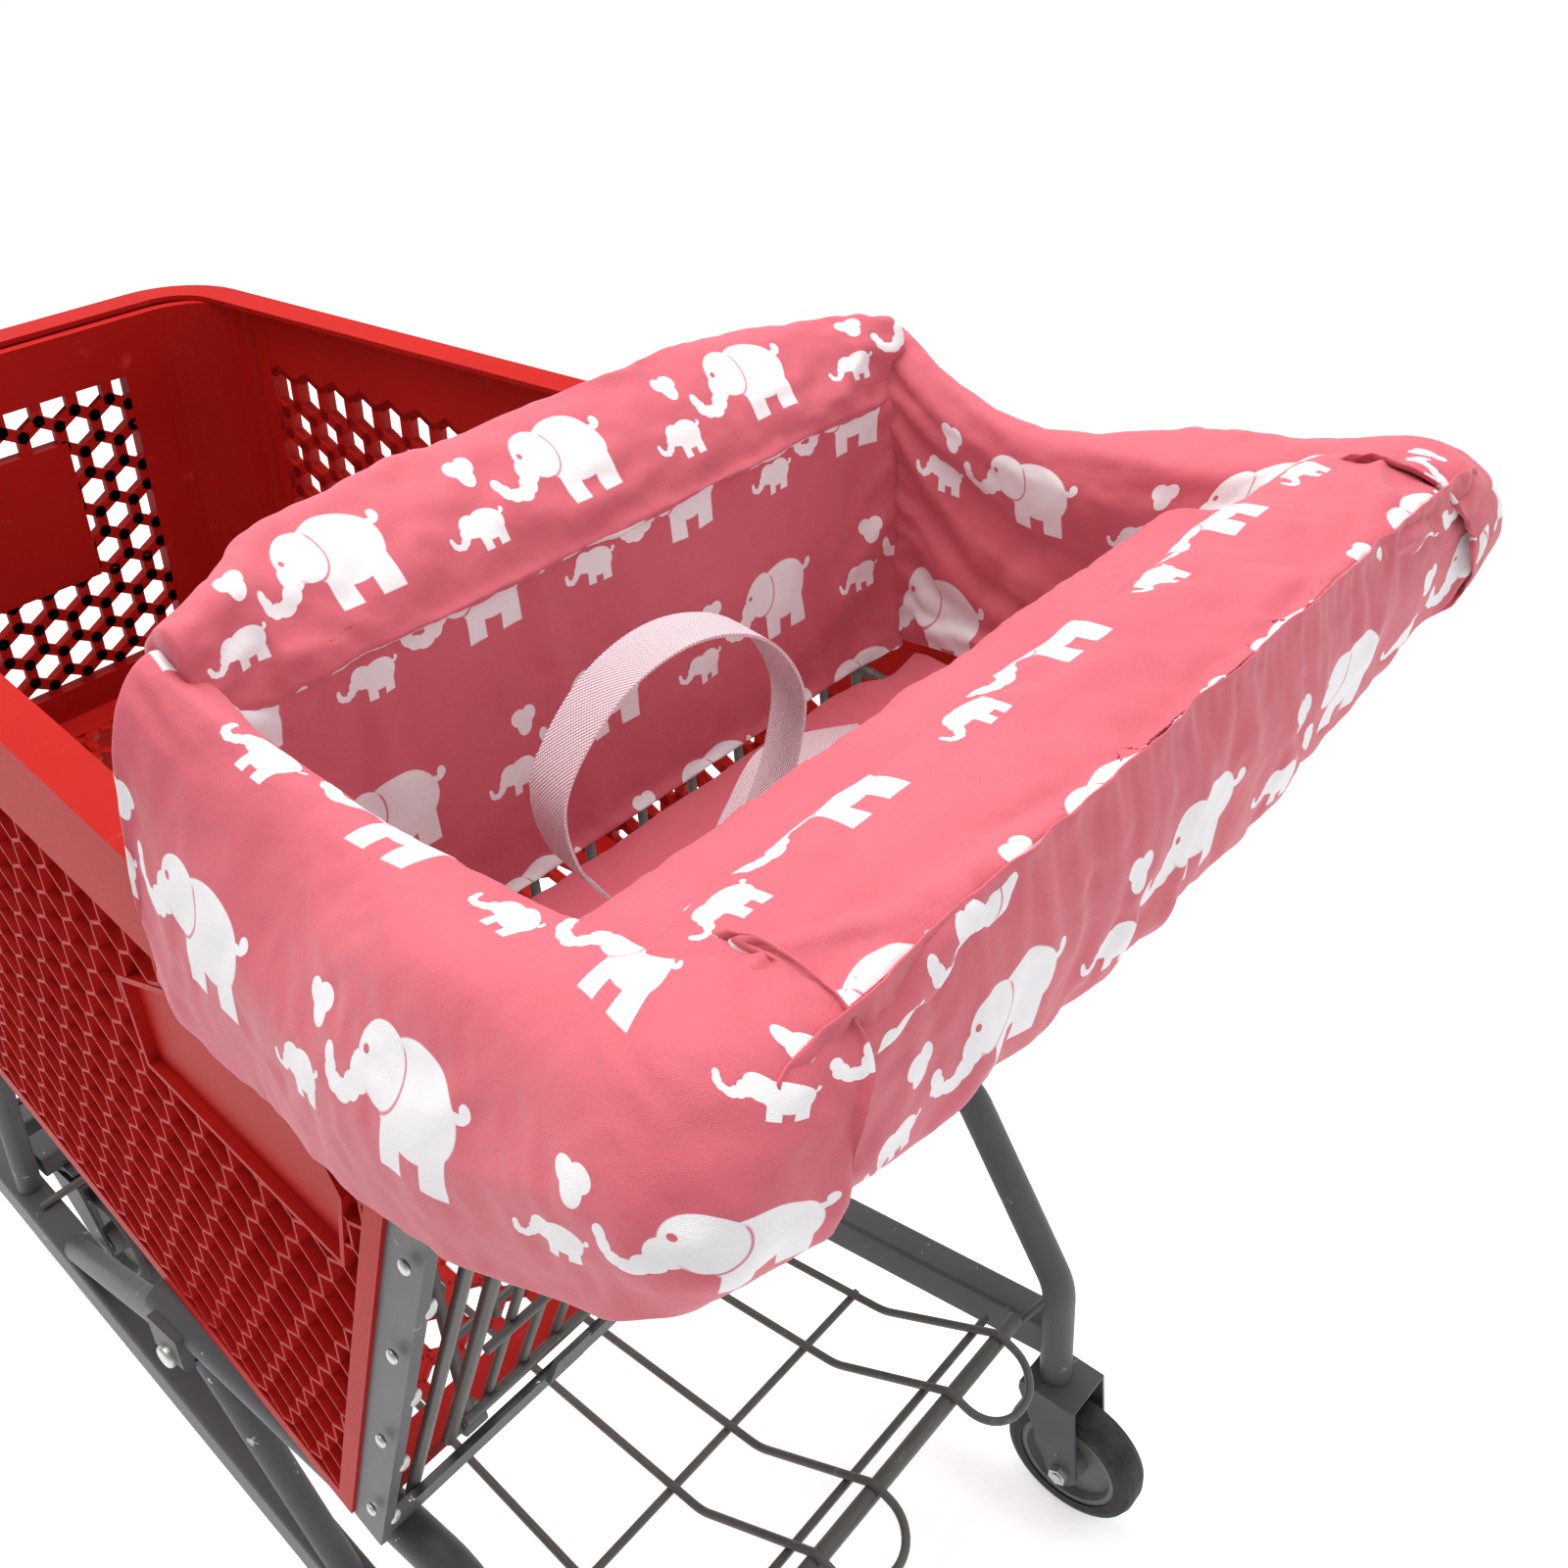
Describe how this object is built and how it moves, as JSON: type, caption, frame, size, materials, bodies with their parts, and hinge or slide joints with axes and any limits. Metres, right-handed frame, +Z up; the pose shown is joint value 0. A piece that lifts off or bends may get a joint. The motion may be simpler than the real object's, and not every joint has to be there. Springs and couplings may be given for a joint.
{
  "type": "shopping cart",
  "caption": "Shopping cart with a plastic basket, steel frame, lifting rear gate with folding child seat under a padded cloth cover, lifting lower tray and swivel front wheels.",
  "frame": {"origin": "on the floor, under the middle of the overall length and width", "axes": "+Y is the way the cart is pushed, +X to its right, +Z up"},
  "size_m": [0.667, 1.091, 1.045],
  "materials": {
    "basket_plastic": "satin moulded red",
    "frame_paint": "grey powder coat",
    "wire_paint": "dark grey powder coat on wire",
    "bright_steel": "zinc plated",
    "bumper_rubber": "matt black",
    "tyre": "matt black",
    "wheel_plastic": "grey moulded",
    "seat_plastic": "red moulded",
    "cover_fabric": "pink woven cloth with a white print",
    "webbing": "pale pink woven tape",
    "buckle_plastic": "black moulded"
  },
  "bodies": {
    "cart": {"basket_rim": "basket_plastic", "basket_side_left": "basket_plastic", "basket_side_right": "basket_plastic", "basket_front": "basket_plastic", "basket_floor": "basket_plastic", "leg_tube_left": "frame_paint", "leg_tube_right": "frame_paint", "post_left": "frame_paint", "post_right": "frame_paint", "bottom_rail": "frame_paint", "handle_bracket_left": "frame_paint", "handle_bracket_right": "frame_paint", "base_tube_left": "frame_paint", "base_tube_right": "frame_paint", "strut_clamp_left": "frame_paint", "strut_clamp_right": "frame_paint", "front_strut_left": "frame_paint", "front_strut_right": "frame_paint", "rear_struts": "frame_paint", "front_uprights": "frame_paint", "nose_tube": "frame_paint", "caster_bearer": "frame_paint", "rear_fork_left": "frame_paint", "rear_fork_right": "frame_paint", "caster_mount_left": "frame_paint", "caster_mount_right": "frame_paint", "gate_hinge_rod": "wire_paint", "side_guard_wires": "wire_paint", "tray_hinge_rod": "wire_paint", "tray_rest_hooks": "wire_paint", "handle_tube": "bright_steel", "clamp_bolts": "bright_steel", "rear_axles": "bright_steel", "front_bumper": "bumper_rubber", "cover_handle_pad": "cover_fabric", "cover_apron": "cover_fabric", "cover_side_left": "cover_fabric", "cover_side_right": "cover_fabric"},
    "gate": {"gate_grid": "wire_paint", "gate_frame": "wire_paint"},
    "seat_back": {"seat_back": "wire_paint", "cover_back": "cover_fabric"},
    "seat_pan": {"seat_pan": "seat_plastic", "cover_seat": "cover_fabric", "belt_webbing": "webbing", "belt_buckle": "buckle_plastic"},
    "tray": {"tray": "wire_paint"},
    "rear_wheel_left": {"rear_hub_left": "wheel_plastic", "rear_tyre_left": "tyre"},
    "caster_left": {"caster_fork_left": "frame_paint", "caster_axle_left": "bright_steel"},
    "caster_wheel_left": {"caster_hub_left": "wheel_plastic", "caster_tyre_left": "tyre"},
    "rear_wheel_right": {"rear_hub_right": "wheel_plastic", "rear_tyre_right": "tyre"},
    "caster_right": {"caster_fork_right": "frame_paint", "caster_axle_right": "bright_steel"},
    "caster_wheel_right": {"caster_hub_right": "wheel_plastic", "caster_tyre_right": "tyre"}
  },
  "joints": [
    {"name": "gate_swing", "type": "hinge", "parent": "cart", "child": "gate", "pos_m": [0, -0.39587, 0.968], "axis": [1, 0, 0], "range_deg": [0, 60]},
    {"name": "seat_back_fold", "type": "hinge", "parent": "gate", "child": "seat_back", "pos_m": [0, -0.24123, 0.478], "axis": [1, 0, 0], "range_deg": [0, 16.8], "deforming": ["belt_webbing"]},
    {"name": "seat_pan_fold", "type": "hinge", "parent": "seat_back", "child": "seat_pan", "pos_m": [0, -0.22829, 0.812], "axis": [-1, 0, 0], "range_deg": [0, 90]},
    {"name": "tray_lift", "type": "hinge", "parent": "cart", "child": "tray", "pos_m": [0, 0.3915, 0.179], "axis": [-1, 0, 0], "range_deg": [0, 10]},
    {"name": "rear_wheel_left_spin", "type": "hinge", "parent": "cart", "child": "rear_wheel_left", "pos_m": [-0.266, -0.4505, 0.0635], "axis": [1, 0, 0], "continuous": true},
    {"name": "caster_left_swivel", "type": "hinge", "parent": "cart", "child": "caster_left", "pos_m": [-0.141, 0.4535, 0.0635], "axis": [0, 0, 1], "continuous": true},
    {"name": "caster_wheel_left_spin", "type": "hinge", "parent": "caster_left", "child": "caster_wheel_left", "pos_m": [-0.141, 0.4095, 0.0635], "axis": [1, 0, 0], "continuous": true},
    {"name": "rear_wheel_right_spin", "type": "hinge", "parent": "cart", "child": "rear_wheel_right", "pos_m": [0.266, -0.4505, 0.0635], "axis": [1, 0, 0], "continuous": true},
    {"name": "caster_right_swivel", "type": "hinge", "parent": "cart", "child": "caster_right", "pos_m": [0.141, 0.4535, 0.0635], "axis": [0, 0, 1], "continuous": true},
    {"name": "caster_wheel_right_spin", "type": "hinge", "parent": "caster_right", "child": "caster_wheel_right", "pos_m": [0.141, 0.4095, 0.0635], "axis": [1, 0, 0], "continuous": true}
  ],
  "couplings": [
    {"joint": "seat_back_fold", "follows": "gate_swing", "ratio": 0.28},
    {"joint": "seat_pan_fold", "follows": "gate_swing", "ratio": 1.5}
  ]
}
